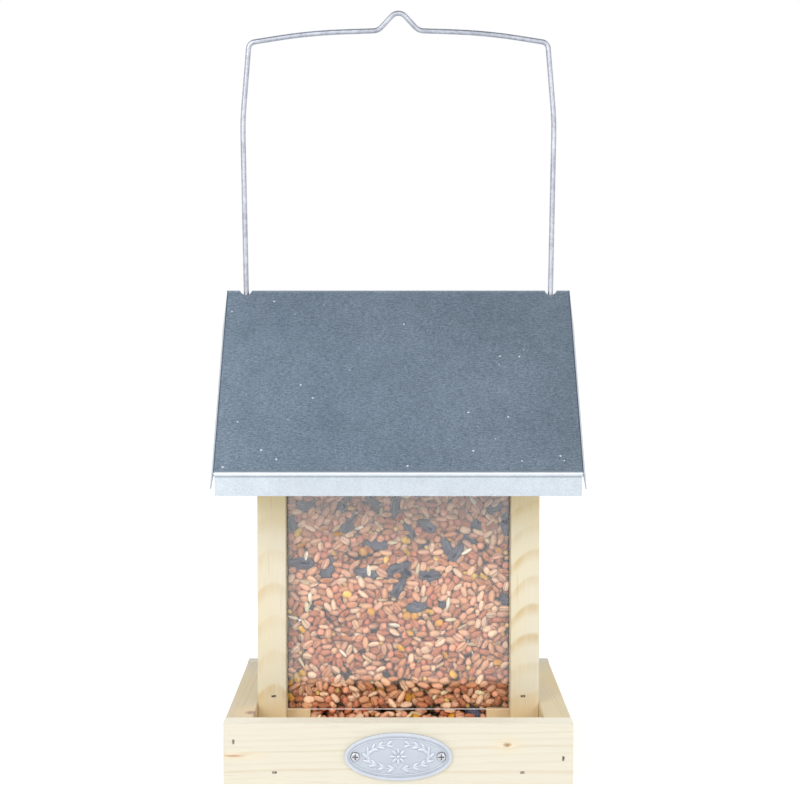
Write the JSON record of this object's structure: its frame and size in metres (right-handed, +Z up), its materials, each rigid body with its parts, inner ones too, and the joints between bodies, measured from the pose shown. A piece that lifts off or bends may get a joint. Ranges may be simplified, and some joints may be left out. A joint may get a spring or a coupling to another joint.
{
  "type": "silo bird feeder",
  "caption": "Wooden silo bird feeder: clear-sided seed hopper on an open tray, folded zinc roof that slides up a wire hanging bail for filling.",
  "frame": {"origin": "middle of the tray's underside", "axes": "+Z up, the front with the oval plate faces -Y, +X to the right seen from the front"},
  "size_m": [0.1888, 0.1831, 0.396],
  "materials": {
    "spruce": "bare planed",
    "clear_acrylic": "clear, polished",
    "bright_steel": "bright, lightly dulled",
    "pressed_zinc": "pressed, satin",
    "zinc_sheet": "zinc coated, satin with fine spangle",
    "galvanised_wire": "galvanised, satin"
  },
  "bodies": {
    "silo": {"base_plate": "spruce", "tray_front_board": "spruce", "tray_back_board": "spruce", "tray_left_board": "spruce", "tray_right_board": "spruce", "left_wall": "spruce", "right_wall": "spruce", "left_cleat": "spruce", "right_cleat": "spruce", "front_left_batten": "spruce", "front_right_batten": "spruce", "rear_left_batten": "spruce", "rear_right_batten": "spruce", "front_pane": "clear_acrylic", "rear_pane": "clear_acrylic", "tray_corner_brads": "bright_steel", "floor_brads": "bright_steel", "wall_brads": "bright_steel", "batten_brads": "bright_steel", "cleat_brads": "bright_steel", "name_plate_screws": "bright_steel", "name_plate": "pressed_zinc"},
    "roof": {"roof": "zinc_sheet"},
    "bail": {"bail": "galvanised_wire"}
  },
  "joints": [
    {"name": "roof_lift", "type": "slide", "parent": "silo", "child": "roof", "axis": [0, 0, 1], "range_m": [0, 0.12]},
    {"name": "bail_swing", "type": "hinge", "parent": "silo", "child": "bail", "pos_m": [0, 0, 0.2224], "axis": [1, 0, 0], "range_deg": [-0.5, 0.5]}
  ]
}
